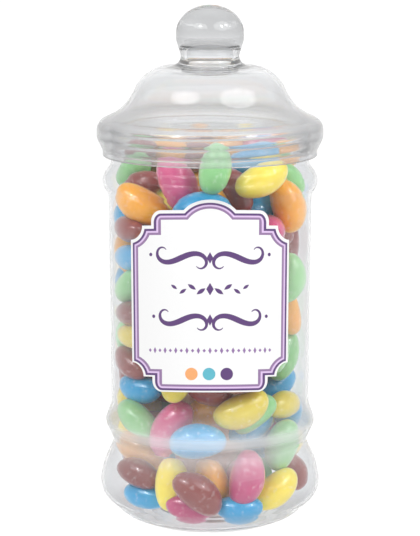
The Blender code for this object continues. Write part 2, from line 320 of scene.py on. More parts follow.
def fillet_points(before, corner, after, arc_step):
    """Points of the arc that rounds one corner, or the corner itself where it is sharp."""
    across, up, fillet = corner
    into, _, turn = turn_between(before, corner, after)
    if fillet <= 0 or abs(turn) < 0.01:
        return [(across, up)]
    setback = fillet * math.tan(abs(turn) / 2)
    side = math.copysign(fillet, turn)
    start = (across - setback * math.cos(into), up - setback * math.sin(into))
    centre = (start[0] - side * math.sin(into), start[1] + side * math.cos(into))
    steps = max(1, round(math.degrees(abs(turn)) / arc_step))
    points = []
    for i in range(steps + 1):
        heading = into + turn * i / steps
        points.append((centre[0] + side * math.sin(heading), centre[1] - side * math.cos(heading)))
    return points


def inset_corner(before, corner, after, wall):
    """A corner moved to the left of its path by a wall's thickness, with its fillet made to fit."""
    across, up, fillet = corner
    into, _, turn = turn_between(before, corner, after)
    reach = wall / math.cos(turn / 2)
    middle = into + turn / 2
    smaller = wall if turn > 0 else -wall
    rounded = max(fillet - smaller, 0.0)
    return (across - reach * math.sin(middle), up + reach * math.cos(middle), rounded)


def neighbours(corners, i):
    """The corners before and after one on an open run; its ends go straight on."""
    here = corners[i]
    before = corners[i - 1] if i > 0 else None
    after = corners[i + 1] if i + 1 < len(corners) else None
    if before is None:
        before = (2 * here[0] - after[0], 2 * here[1] - after[1], 0.0)
    if after is None:
        after = (2 * here[0] - before[0], 2 * here[1] - before[1], 0.0)
    return before, after


def inset_run(corners, wall):
    """An open run of corners moved to its left by a wall's thickness."""
    moved = []
    for i, corner in enumerate(corners):
        before, after = neighbours(corners, i)
        moved.append(inset_corner(before, corner, after, wall))
    return moved


def rounded_run(corners):
    """The points of an open run with its corners rounded."""
    points = []
    for i, corner in enumerate(corners):
        before, after = neighbours(corners, i)
        points.extend(fillet_points(before, corner, after, ARC_STEP))
    return points


def filled_in(points, longest):
    """The same run with its long straight stretches cut into shorter ones."""
    fine = [points[0]]
    for start, end in zip(points, points[1:]):
        length = math.dist(start, end)
        if length < 1e-6:
            continue
        steps = max(1, math.ceil(length / longest))
        for i in range(1, steps + 1):
            share = i / steps
            fine.append((start[0] + (end[0] - start[0]) * share, start[1] + (end[1] - start[1]) * share))
    return fine


def jar_sections(mouth_z):
    """The jar's outer run, its inner run and its whole closed section, from axis to axis."""
    foot = [(0.0, PUSH_UP_HEIGHT, 0.0), (PUSH_UP_RADIUS, PUSH_UP_HEIGHT, FOOT_ROUND)]
    outer = foot + JAR_CORNERS + [(NECK_RADIUS, mouth_z, LIP_ROUND)]
    inner = inset_run(outer, JAR_WALL)
    inner[0] = (0.0, PUSH_UP_HEIGHT + JAR_WALL, 0.0)
    inner[-1] = (NECK_RADIUS - JAR_WALL, mouth_z, LIP_ROUND)
    whole = rounded_run(outer + inner[::-1])
    return rounded_run(outer), rounded_run(inner), whole


def lid_section(top_z):
    """The lid's section, from the knob's top down to the skirt and back up inside to the core's top."""
    knob = []
    for i in range(KNOB_STEPS):
        angle = math.radians(90 * i / KNOB_STEPS)
        knob.append((KNOB_RADIUS * math.sin(angle), KNOB_Z + (top_z - KNOB_Z) * math.cos(angle)))
    outer = LID_CORNERS[LID_DOME_CORNER:]
    inside = inset_run(outer, -LID_WALL)
    dome_radius, dome_z, _ = outer[0]
    skirt_radius, skirt_z, skirt_round = outer[-1]
    inside[0] = (dome_radius - LID_WALL, dome_z - LID_WALL, DOME_INSIDE_ROUND)
    inside[-1] = (skirt_radius - LID_WALL, skirt_z, skirt_round)
    core = [
        (CORE_RADIUS, dome_z - LID_WALL, CORE_FOOT_ROUND),
        (CORE_RADIUS, CORE_TOP_Z, CORE_ROUND),
        (0.0, CORE_TOP_Z, 0.0),
    ]
    return knob + rounded_run(LID_CORNERS + inside[::-1] + core)


def wall_radius(run, height):
    """Radii of a rising run at some heights."""
    radii = np.array([p[0] for p in run])
    heights = np.maximum.accumulate(np.array([p[1] for p in run]) + np.arange(len(run)) * 1e-7)
    return np.interp(height, heights, radii)


# ---------------------------------------------------------------- geometry nodes


def add_node(tree, kind, feeds=None, **settings):
    """Adds a node to a tree. Feeds map an input's name or number to a value or to another node's output."""
    node = tree.nodes.new(kind)
    for name, value in settings.items():
        setattr(node, name, value)
    for key, value in (feeds or {}).items():
        socket = node.inputs[key]
        if isinstance(value, bpy.types.NodeSocket):
            tree.links.new(value, socket)
        else:
            socket.default_value = value
    return node


def reckon(tree, operation, first, second=0.0):
    """The output of a Math node."""
    return add_node(tree, "ShaderNodeMath", {0: first, 1: second}, operation=operation).outputs[0]


def plus(tree, first, second):
    return reckon(tree, "ADD", first, second)


def minus(tree, first, second):
    return reckon(tree, "SUBTRACT", first, second)


def times(tree, *values):
    """The product of two or more values."""
    product = values[0]
    for value in values[1:]:
        product = reckon(tree, "MULTIPLY", product, value)
    return product


def position_of(tree):
    """The output of a Position node."""
    return add_node(tree, "GeometryNodeInputPosition").outputs[0]


def round_axis(tree, radius, angle, height):
    """The point at a radius and an angle about the Z axis."""
    across = times(tree, radius, reckon(tree, "COSINE", angle))
    return vector_of(tree, across, times(tree, radius, reckon(tree, "SINE", angle)), height)


def placed(tree, geometry, position):
    """A geometry with its points moved to these places."""
    feeds = {"Geometry": geometry, "Position": position}
    return add_node(tree, "GeometryNodeSetPosition", feeds).outputs[0]


def vector_of(tree, x, y, z):
    """The output of a Combine XYZ node."""
    return add_node(tree, "ShaderNodeCombineXYZ", {0: x, 1: y, 2: z}).outputs[0]


def parts_of(tree, vector):
    """The three outputs of a Separate XYZ node."""
    return add_node(tree, "ShaderNodeSeparateXYZ", {0: vector}).outputs


def vectors(tree, operation, first, second=(0.0, 0.0, 0.0)):
    """The output of a Vector Math node."""
    return add_node(tree, "ShaderNodeVectorMath", {0: first, 1: second}, operation=operation).outputs[0]


def named(tree, name, data_type="FLOAT"):
    """The output of a Named Attribute node."""
    node = add_node(tree, "GeometryNodeInputNamedAttribute", {"Name": name}, data_type=data_type)
    return node.outputs["Attribute"]


def noted(tree, geometry, name, vector):
    """A geometry that carries a vector of each of its points under a name."""
    feeds = {"Geometry": geometry, "Name": name, "Value": vector}
    return add_node(tree, "GeometryNodeStoreNamedAttribute", feeds, data_type="FLOAT_VECTOR").outputs[0]


def new_tree(name, inputs):
    """An empty Geometry Nodes tree with a geometry in and out and these named inputs: name, type, value."""
    tree = bpy.data.node_groups.new(name, "GeometryNodeTree")
    tree.interface.new_socket("Geometry", in_out="INPUT", socket_type="NodeSocketGeometry")
    tree.interface.new_socket("Geometry", in_out="OUTPUT", socket_type="NodeSocketGeometry")
    for label, kind, value in inputs:
        socket = tree.interface.new_socket(label, in_out="INPUT", socket_type=kind)
        if value is not None:
            socket.default_value = value
    return tree, tree.nodes.new("NodeGroupInput").outputs


def close_tree(tree, geometry, material):
    """Ends a tree: instances made real, shaded smooth, given their material."""
    real = add_node(tree, "GeometryNodeRealizeInstances", {"Geometry": geometry})
    smooth = add_node(tree, "GeometryNodeSetShadeSmooth", {"Geometry": real.outputs[0]})
    painted = add_node(
        tree, "GeometryNodeSetMaterial", {"Geometry": smooth.outputs[0], "Material": material}
    )
    end = tree.nodes.new("NodeGroupOutput")
    tree.links.new(painted.outputs[0], end.inputs[0])


def made_by(tree, start_mesh, name, settings):
    """The plain mesh object that a tree makes from a starting mesh with these input values."""
    start = bpy.data.objects.new(name + "_start", start_mesh)
    bpy.context.scene.collection.objects.link(start)
    modifier = start.modifiers.new("shape", "NODES")
    modifier.node_group = tree
    for item in tree.interface.items_tree:
        if item.in_out == "INPUT" and item.name in settings:
            modifier[item.identifier] = settings[item.name]
    bpy.context.view_layer.update()
    evaluated = start.evaluated_get(bpy.context.evaluated_depsgraph_get())
    mesh = bpy.data.meshes.new_from_object(evaluated)
    mesh.name = name
    start.modifiers.remove(modifier)
    bpy.data.objects.remove(start)
    piece = bpy.data.objects.new(name, mesh)
    bpy.context.scene.collection.objects.link(piece)
    return piece


def turned_tree():
    """Turns a section, drawn as a string of points in the XZ plane, about the Z axis into a closed wall."""
    tree, given = new_tree(
        "turned_plastic_wall",
        [
            ("Steps Round", "NodeSocketInt", TURNED_STEPS),
            ("Ripple", "NodeSocketFloat", 0.0),
            ("Ripple Scale", "NodeSocketFloat", 20.0),
            ("Thread Depth", "NodeSocketFloat", 0.0),
            ("Thread Pitch", "NodeSocketFloat", 1.0),
            ("Thread Low", "NodeSocketFloat", 0.0),
            ("Thread High", "NodeSocketFloat", 1.0),
            ("Material", "NodeSocketMaterial", None),
        ],
    )
    section = given["Geometry"]
    size = add_node(tree, "GeometryNodeAttributeDomainSize", {"Geometry": section}, component="MESH")
    count = size.outputs["Point Count"]
    columns = reckon(tree, "ADD", given["Steps Round"], 1.0)
    grid = add_node(
        tree,
        "GeometryNodeMeshGrid",
        {"Size X": 1.0, "Size Y": 1.0, "Vertices X": columns, "Vertices Y": count},
    )
    place = parts_of(tree, position_of(tree))
    round_share = plus(tree, place[0], 0.5)
    index = reckon(tree, "ROUND", times(tree, plus(tree, place[1], 0.5), minus(tree, count, 1.0)))
    samples = []
    for value, data_type in ((position_of(tree), "FLOAT_VECTOR"), (named(tree, "ridge"), "FLOAT")):
        feeds = {"Geometry": section, "Value": value, "Index": index}
        samples.append(add_node(tree, "GeometryNodeSampleIndex", feeds, data_type=data_type).outputs[0])
    radius, _, height = parts_of(tree, samples[0])
    angle = times(tree, round_share, 2 * math.pi)
    # The thread is a rounded ridge that climbs one pitch in a turn and fades out at both ends.
    climb = minus(tree, reckon(tree, "DIVIDE", height, given["Thread Pitch"]), round_share)
    wave = reckon(tree, "COSINE", times(tree, climb, 2 * math.pi))
    crest = reckon(tree, "POWER", reckon(tree, "MAXIMUM", wave, 0.0), THREAD_SHARPNESS)
    rise = minus(tree, height, given["Thread Low"])
    drop = minus(tree, given["Thread High"], height)
    fade = times(tree, reckon(tree, "MINIMUM", rise, drop), THREAD_FADE)
    fade = add_node(tree, "ShaderNodeClamp", {0: fade}).outputs[0]
    thread = times(tree, crest, fade, given["Thread Depth"], samples[1])
    # Blown and moulded walls are a little uneven.
    spot = round_axis(tree, radius, angle, height)
    noise = add_node(
        tree, "ShaderNodeTexNoise", {"Vector": spot, "Scale": given["Ripple Scale"], "Detail": 1.0}
    )
    off_axis = reckon(tree, "MINIMUM", times(tree, radius, RIPPLE_START), 1.0)
    uneven = times(tree, minus(tree, noise.outputs[0], 0.5), given["Ripple"], off_axis)
    whole_radius = plus(tree, radius, plus(tree, thread, uneven))
    moved = placed(tree, grid.outputs["Mesh"], round_axis(tree, whole_radius, angle, height))
    merged = add_node(tree, "GeometryNodeMergeByDistance", {"Geometry": moved, "Distance": WELD})
    close_tree(tree, merged.outputs[0], given["Material"])
    return tree


def section_mesh(name, section, has_ridge):
    """A section as a string of points, with the share of the screw thread that each one carries."""
    mesh = bpy.data.meshes.new(name)
    points = [(radius * MM, 0.0, z * MM) for radius, z in section]
    mesh.from_pydata(points, [(i, i + 1) for i in range(len(points) - 1)], [])
    ridge = mesh.attributes.new("ridge", "FLOAT", "POINT")
    ridge.data.foreach_set("value", [float(has_ridge(radius, z)) for radius, z in section])
    return mesh


def top_of(node):
    """How high a node of the part reaches, in millimetres."""
    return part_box(node)[1].z / MM


def finish_piece(piece, slot, *nodes):
    """Tells the frame what a piece rides on and which nodes it stands for; the slot argument, its finish,
    is not used.
    """
    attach(piece, BODY)
    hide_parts(*nodes)
    return piece


# ---------------------------------------------------------------- materials


def new_material(name):
    """A node material and its Principled shader."""
    material = bpy.data.materials.new(name)
    material.use_nodes = True
    return material, material.node_tree, material.node_tree.nodes["Principled BSDF"]


def set_values(shader, values):
    """Plain values on a shader's own sockets."""
    for name, value in values.items():
        shader.inputs[name].default_value = value


def object_noise(tree, scale, detail=2.0, roughness=0.5):
    """Noise on the piece's own coordinates."""
    coordinates = add_node(tree, "ShaderNodeTexCoord")
    feeds = {
        "Vector": coordinates.outputs["Object"],
        "Scale": scale,
        "Detail": detail,
        "Roughness": roughness,
    }
    return add_node(tree, "ShaderNodeTexNoise", feeds).outputs[0]


def mapped(tree, value, low, high, start=0.0, end=1.0):
    """A value between start and end carried to the range from low to high."""
    feeds = {"Value": value, "From Min": start, "From Max": end, "To Min": low, "To Max": high}
    return add_node(tree, "ShaderNodeMapRange", feeds).outputs[0]


def bumped(tree, shader, height, strength, distance):
    """Small bumps on a shader's surface, for the fine grain that is too small for the mesh."""
    feeds = {"Height": height, "Strength": strength, "Distance": distance}
    tree.links.new(add_node(tree, "ShaderNodeBump", feeds).outputs[0], shader.inputs["Normal"])


def ramp_of(tree, place, stops):
    """The output of a Color Ramp of greys: place from 0 to 1, value."""
    ramp = add_node(tree, "ShaderNodeValToRGB", {0: place})
    elements = ramp.color_ramp.elements
    elements[0].position = stops[0][0]
    elements[1].position = stops[-1][0]
    for position, _ in stops[1:-1]:
        elements.new(position)
    for element, (_, value) in zip(elements, stops):
        element.color = (value, value, value, 1.0)
    return ramp.outputs[0]


def by_height(tree, levels):
    """A grey that follows the height above the floor: height in millimetres, value."""
    height = parts_of(tree, add_node(tree, "ShaderNodeTexCoord").outputs["Object"])[2]
    low, high = levels[0][0], levels[-1][0]
    share = mapped(tree, height, 0.0, 1.0, low * MM, high * MM)
    return ramp_of(tree, share, [((level - low) / (high - low), value) for level, value in levels])


def mixed(tree, share, first, second):
    """A colour between two colours, each a plain colour or another node's."""
    colours = [c if isinstance(c, bpy.types.NodeSocket) else (*c, 1.0) for c in (first, second)]
    mix = add_node(tree, "ShaderNodeMix", {"Factor": share, 6: colours[0], 7: colours[1]}, data_type="RGBA")
    return mix.outputs[2]


def clear_plastic(name, shaded_tint, veiled_clearness, edge, ior, gloss, roughness):
    """Clear plastic with faint handling haze and a slightly wavy surface.

    The colour let through, the share that goes straight on, and the light kept where the wall is seen
    edge-on are given by height. They carry painted shade, a painted milky veil of reflection and painted
    dark edges.
    """
    material, tree, shader = new_material(name)
    set_values(shader, {"IOR": ior, "Metallic": 0.0, "Specular Tint": (gloss, gloss, gloss, 1.0)})
    # Painted shade: the walls darken towards their outlines, by how edge-on they are seen.
    facing = add_node(tree, "ShaderNodeLayerWeight", {"Blend": 0.5}).outputs["Facing"]
    edge_on = reckon(tree, "POWER", facing, EDGE_SHARPNESS)
    kept = minus(tree, 1.0, times(tree, edge_on, minus(tree, 1.0, by_height(tree, edge))))
    tint_with_painted_shade = times(tree, by_height(tree, shaded_tint), kept)
    tree.links.new(vectors(tree, "MULTIPLY", tint_with_painted_shade, PLASTIC_COLOUR), shader.inputs["Base Color"])
    tree.links.new(by_height(tree, veiled_clearness), shader.inputs["Transmission Weight"])
    haze = mapped(tree, object_noise(tree, 60.0, 3.0), roughness * 0.5, roughness * 1.6)
    tree.links.new(haze, shader.inputs["Roughness"])
    bumped(tree, shader, object_noise(tree, 90.0, 1.0), 0.02, 0.0008)
    return material


def candy(name, colour):
    """Glazed, slightly see-through candy, cloudy inside, with pale specks painted in as tiny glints of
    light; each bean is a shade of its own.
    """
    material, tree, shader = new_material(name)
    set_values(
        shader,
        {
            "Subsurface Weight": 0.7,
            "Subsurface Radius": (1.0, 0.85, 0.7),
            "Subsurface Scale": 0.004,
            "Specular IOR Level": 0.35,
            "Coat Weight": 0.85,
            "Coat Roughness": 0.06,
            "Sheen Weight": 0.25,
            "Sheen Roughness": 0.4,
        },
    )
    shade = add_node(tree, "ShaderNodeAttribute", attribute_name="shade").outputs["Fac"]
    cloud = times(tree, object_noise(tree, 170.0, 3.0), 0.6)
    level = plus(tree, cloud, times(tree, shade, 0.5))
    deep = tuple(c * 0.74 for c in colour)
    light = tuple(min(1.0, c * 1.25 + 0.025) for c in colour)
    pale = tuple(c * 0.5 + 0.45 for c in colour)
    clouded = mixed(tree, level, deep, light)
    # Painted highlights: pale specks that stand in for tiny glints on the sugar shell.
    glint_specks = mapped(tree, object_noise(tree, 480.0, 2.0), 0.0, 0.36, 0.58, 0.72)
    tree.links.new(mixed(tree, glint_specks, clouded, pale), shader.inputs["Base Color"])
    tree.links.new(mapped(tree, object_noise(tree, 220.0), 0.14, 0.34), shader.inputs["Roughness"])
    bumped(tree, shader, object_noise(tree, 230.0, 2.0), 0.45, 0.0006)
    return material


def print_ink(name, colour):
    """Ink on coated label paper."""
    material, tree, shader = new_material(name)
    set_values(shader, {"Specular IOR Level": 0.4, "Coat Weight": 0.15, "Coat Roughness": 0.3})
    fibre = object_noise(tree, 900.0, 4.0)
    darker = tuple(c * 0.975 for c in colour)
    tree.links.new(mixed(tree, fibre, darker, colour), shader.inputs["Base Color"])
    tree.links.new(mapped(tree, fibre, 0.32, 0.44), shader.inputs["Roughness"])
    return material


# ---------------------------------------------------------------- packing the beans


def turn_about(axis, angle):
    """Unit quaternions for turns about unit axes."""
    half = angle[:, None] / 2
    return np.concatenate([np.cos(half), axis * np.sin(half)], axis=1)


def combined(first, second):
    """Quaternions of the second turn followed by the first."""
    w, u = first[:, :1], first[:, 1:]
    s, v = second[:, :1], second[:, 1:]
    real = w * s - (u * v).sum(axis=1, keepdims=True)
    return np.concatenate([real, w * v + s * u + np.cross(u, v)], axis=1)


def turned(turns, points):
    """Points, several to a bean, turned by each bean's quaternion."""
    w = turns[:, None, :1]
    u = np.broadcast_to(turns[:, None, 1:], points.shape)
    double = 2 * np.cross(u, points)
    return points + w * double + np.cross(u, double)


def front_turn(lean, swing):
    """The quaternion of a bean that leans from level in the picture and swings its right end forward."""
    along = Vector((math.cos(lean) * math.cos(swing), -math.sin(swing), math.sin(lean) * math.cos(swing)))
    towards = Vector((0.0, -1.0, 0.0))
    across = towards.cross(along).normalized()
    return np.array(Matrix((along, across, along.cross(across))).transposed().to_quaternion())


def even_ball_points(count):
    """Points spread evenly over a unit ball, on a spiral."""
    steps = np.arange(count) + 0.5
    level = 1 - 2 * steps / count
    angle = steps * math.pi * (3 - math.sqrt(5))
    around = np.sqrt(1 - level**2)
    return np.stack([level, around * np.cos(angle), around * np.sin(angle)], axis=1)


class Heap:
    """Beans as short chains of balls, settled in the jar behind and round the front beans."""

    ball_places = np.array([-0.54, -0.2, 0.2, 0.54])
    ball_sizes = np.array([0.8, 0.975, 0.975, 0.8])

    def __init__(self, inner_run, dice):
        self.inner_run = inner_run
        self.floor = inner_run[0][1] + SKIN_GAP
        self.skin = even_ball_points(SKIN_POINTS)
        self.front = len(FRONT_BEANS)
        rest = BEAN_COUNT - self.front
        names = list(BEAN_COLOURS)
        self.colours = [bean[0] for bean in FRONT_BEANS]
        self.colours += [names[i] for i in dice.integers(0, len(names), rest)]
        size = dice.uniform(0.93, 1.04, BEAN_COUNT)
        size[: self.front] = [bean[5] for bean in FRONT_BEANS]
        self.half_lengths = BEAN_LENGTH / 2 * size * dice.uniform(0.96, 1.03, BEAN_COUNT)
        self.half_widths = BEAN_WIDTH / 2 * size
        self.half_depths = self.half_widths * dice.uniform(0.93, 1.0, BEAN_COUNT)
        self.bends = dice.uniform(0.3, 1.7, BEAN_COUNT) * dice.choice((-1, 1), BEAN_COUNT)
        self.eggs = dice.uniform(-0.05, 0.05, BEAN_COUNT)
        wild = dice.normal(size=(BEAN_COUNT, 4))
        self.turns = wild / np.linalg.norm(wild, axis=1, keepdims=True)
        self.centres = np.zeros((BEAN_COUNT, 3))
        self.place_front()
        self.scatter(dice)

    def shaped(self, points):
        """Points of a unit ball carried to every bean's own shape."""
        x, y, z = points.T
        spread = np.maximum(1 - x * x, BLUNT_LIMIT)
        girth = spread**-BLUNT_GIRTH * (1 + self.eggs[:, None] * x)
        along = x * (1 - BLUNT_END * spread) * self.half_lengths[:, None]
        across = y * girth * self.half_widths[:, None] - self.bends[:, None] * (x * x - BEND_MIDDLE)
        return np.stack([along, across, z * girth * self.half_depths[:, None]], axis=2)

    def chain(self):
        """Every bean's balls in the bean's own frame, and their radii."""
        balls = np.zeros((BEAN_COUNT, len(self.ball_places), 3))
        balls[:, :, 0] = self.half_lengths[:, None] * self.ball_places
        balls[:, :, 1] = -self.bends[:, None] * (self.ball_places**2 - BEND_MIDDLE)
        girth = (self.half_widths + self.half_depths) / 2
        return balls, girth[:, None] * self.ball_sizes * (1 + self.eggs[:, None] * self.ball_places)

    def over_wall(self, points):
        """How far points reach past the inside of the wall."""
        room = np.minimum(wall_radius(self.inner_run, points[..., 2]), BEAN_REACH)
        return np.hypot(points[..., 0], points[..., 1]) - room + SKIN_GAP

    def over_top(self, points):
        """How far points reach above the heap's top."""
        middle = 1 - (points[..., 0] ** 2 + points[..., 1] ** 2) / 40**2
        return points[..., 2] - (CEILING_Z + CEILING_CROWN * middle - CEILING_TILT * points[..., 1] / 40)

    def place_front(self):
        """Sets each front bean at the first depth where it fits, or else where it cuts in least."""
        skins = self.shaped(self.skin)
        balls, radii = self.chain()
        taken = np.zeros((0, 3))
        taken_radii = np.zeros(0)
        away = np.array(VIEW_WAY)
        for k, (_, across, up, lean, swing, _) in enumerate(FRONT_BEANS):
            self.turns[k] = front_turn(math.radians(lean), math.radians(swing))
            start = np.array((across, -FRONT_PLANE, up), float)
            paths = start + np.arange(-14.0, 50.0, 0.5)[:, None] * away
            turn = self.turns[k : k + 1]
            skin = turned(turn, skins[k : k + 1])[0]
            own = turned(turn, balls[k : k + 1])[0]
            reached = paths[:, None] + skin
            fault = np.maximum(self.over_wall(reached).max(axis=1), 0)
            fault += np.maximum(self.floor - reached[..., 2].min(axis=1), 0)
            fault += np.maximum(self.over_top(reached).max(axis=1) - FRONT_SQUEEZE, 0)
            fault *= WALL_WEIGHT
            if len(taken):
                gaps = np.linalg.norm(paths[:, None, None] + own[:, None] - taken, axis=3)
                reach = radii[k][:, None] + taken_radii
                fault += np.maximum((reach - gaps).max(axis=(1, 2)) - FRONT_SQUEEZE, 0)
                hiding = paths[:, None, None] + own[:, None] - taken
                beside = np.hypot(hiding[..., 0], hiding[..., 2]) < reach * 0.8
                fault += np.any(beside & (hiding[..., 1] < 0), axis=(1, 2)) * 9.0
            fits = np.nonzero(fault <= 0.05)[0]
            best = fits[0] if len(fits) else int(np.argmin(fault))
            self.centres[k] = paths[best]
            taken = np.concatenate([taken, paths[best] + own])
            taken_radii = np.concatenate([taken_radii, radii[k]])

    def scatter(self, dice):
        """The other beans, strewn through the jar but not in front of the front beans."""
        front = self.centres[: self.front]
        nearest = CORE_LUMP_RADIUS + BEAN_WIDTH / 2 - 1
        for k in range(self.front, BEAN_COUNT):
            free = False
            while not free:
                angle = dice.uniform(0, 2 * math.pi)
                height = dice.uniform(self.floor + 6, CEILING_Z - 6)
                inmost = nearest if height < CORE_LUMP_TOP_Z else 0.0
                distance = math.sqrt(dice.uniform(inmost**2, 34.0**2))
                place = np.array((distance * math.cos(angle), distance * math.sin(angle), height))
                beside = np.hypot(front[:, 0] - place[0], front[:, 2] - place[2]) < BEAN_WIDTH * 0.9
                in_front = place[1] < front[:, 1] + BEAN_WIDTH * 0.6
                near = np.linalg.norm(front - place, axis=1) < BEAN_WIDTH * 0.7
                free = not (np.any(beside & in_front) or np.any(near))
            self.centres[k] = place

    def settle(self, steps):
        """Grows the other beans to full size while beans that meet push each other off."""
        chain, radii = self.chain()
        skins = self.shaped(self.skin)
        per = len(self.ball_places)
        owner = np.repeat(np.arange(BEAN_COUNT), per)
        loose = np.ones(BEAN_COUNT)
        loose[: self.front] = 0.0
        first = second = np.zeros(0, int)
        for step in range(steps):
            growth = np.full(BEAN_COUNT, min(1.0, 0.6 + 0.4 * step / (steps * 0.45)))
            growth[: self.front] = 1.0
            balls = self.centres[:, None] + turned(self.turns, chain * growth[:, None, None])
            places, sizes = balls.reshape(-1, 3), (radii * growth[:, None]).reshape(-1)
            if step % 8 == 0:
                gaps = np.linalg.norm(places[:, None] - places[None], axis=2)
                near = np.triu(gaps < sizes[:, None] + sizes[None] + 3.0, 1)
                near &= owner[:, None] != owner[None]
                near &= (loose[owner][:, None] + loose[owner][None]) > 0
                first, second = np.nonzero(near)
            apart = places[first] - places[second]
            gap = np.linalg.norm(apart, axis=1) + 1e-9
            deep = sizes[first] + sizes[second] - gap
            hit = deep > 0
            a, b, deep = first[hit], second[hit], deep[hit]
            push = apart[hit] / gap[hit][:, None] * deep[:, None]
            behind = (owner[a] < self.front) & (np.hypot(push[:, 0], push[:, 2]) < deep * 0.8)
            push[behind] = np.array([0.0, -1.0, 0.0]) * deep[behind][:, None]
            share = (loose[owner[a]] / (loose[owner[a]] + loose[owner[b]]))[:, None]
            self.move(owner[a], places[a], push * share, owner[b], places[b], -push * (1 - share))
            if step % 3 == 0:
                self.centres[self.hiding(places, sizes), 1] += 2.0
            self.keep_in(skins * growth[:, None, None])
        for _ in range(LAST_PUSHES):
            self.keep_in(skins)
        dropped = self.without_room()
        self.kept = [k for k in range(BEAN_COUNT) if k not in dropped]

    def hiding(self, places, sizes):
        """The loose beans that stand between a front bean and the viewer."""
        per = len(self.ball_places)
        shown = self.front * per
        apart = places[shown:, None] - places[:shown]
        beside = np.hypot(apart[..., 0], apart[..., 2]) < (sizes[shown:, None] + sizes[:shown]) * 0.8
        loose = places[shown:]
        behind_label = (np.abs(loose[:, 0]) < HIDDEN_REACH) & (np.abs(loose[:, 2] - HIDDEN_Z) < HIDDEN_RISE)
        beside &= ~behind_label[:, None]
        hides = np.any(beside & (apart[..., 1] < 0), axis=1).reshape(-1, per).any(axis=1)
        return self.front + np.nonzero(hides)[0]

    def without_room(self):
        """The loose beans that found no room, worst first, each judged without those before it."""
        chain, radii = self.chain()
        places = (self.centres[:, None] + turned(self.turns, chain)).reshape(-1, 3)
        sizes = radii.reshape(-1)
        owner = np.repeat(np.arange(BEAN_COUNT), len(self.ball_places))
        gaps = np.linalg.norm(places[:, None] - places[None], axis=2)
        overlap = sizes[:, None] + sizes[None] - gaps
        overlap[owner[:, None] == owner[None]] = 0.0
        dropped = list(self.hiding(places, sizes))
        while True:
            gone = np.isin(owner, dropped)
            overlap[gone] = 0.0
            overlap[:, gone] = 0.0
            worst = overlap.max(axis=1)
            worst[owner < self.front] = 0.0
            if worst.max() < WORST_OVERLAP:
                return dropped
            dropped.append(owner[worst.argmax()])

    def keep_in(self, skins):
        """Pushes the loose beans back inside the wall, the floor, the heap's top and off the core."""
        loose = np.arange(self.front, BEAN_COUNT)
        skin = self.centres[loose, None] + turned(self.turns[loose], skins[loose])
        distance = np.hypot(skin[..., 0], skin[..., 1]) + 1e-9
        outwards = np.zeros_like(skin)
        outwards[..., :2] = skin[..., :2] / distance[..., None]
        upwards = np.zeros_like(skin)
        upwards[..., 2] = 1.0
        too_deep = np.where(skin[..., 2] < CORE_LUMP_TOP_Z, CORE_LUMP_RADIUS - distance, 0.0)
        pushes = []
        for over, way in (
            (self.over_wall(skin), -outwards),
            (self.floor - skin[..., 2], upwards),
            (self.over_top(skin), -upwards),
            (too_deep, outwards),
        ):
            worst = over.argmax(axis=1)
            rows = np.arange(len(loose))
            amount = np.maximum(over[rows, worst], 0.0)
            hit = np.nonzero(amount > 0)[0]
            spots = skin[hit, worst[hit]]
            pushes.extend((loose[hit], spots, way[hit, worst[hit]] * amount[hit][:, None]))
        self.move(*pushes)

    def move(self, *pushes):
        """Shifts and turns each bean by the mean of its pushes: beans, places, pushes, again and again."""
        shift = np.zeros((BEAN_COUNT, 3))
        twist = np.zeros((BEAN_COUNT, 3))
        touches = np.zeros(BEAN_COUNT)
        for beans, places, push in zip(pushes[::3], pushes[1::3], pushes[2::3]):
            np.add.at(shift, beans, push)
            np.add.at(twist, beans, np.cross(places - self.centres[beans], push))
            np.add.at(touches, beans, 1)
        soften = np.maximum(touches * 0.5, 1)[:, None]
        self.centres += shift / soften
        spin = twist / soften / (0.45 * self.half_lengths**2)[:, None]
        angle = np.linalg.norm(spin, axis=1)
        axis = spin / (angle + 1e-9)[:, None]
        self.turns = combined(turn_about(axis, np.minimum(angle, 0.2)), self.turns)
        self.turns /= np.linalg.norm(self.turns, axis=1, keepdims=True)


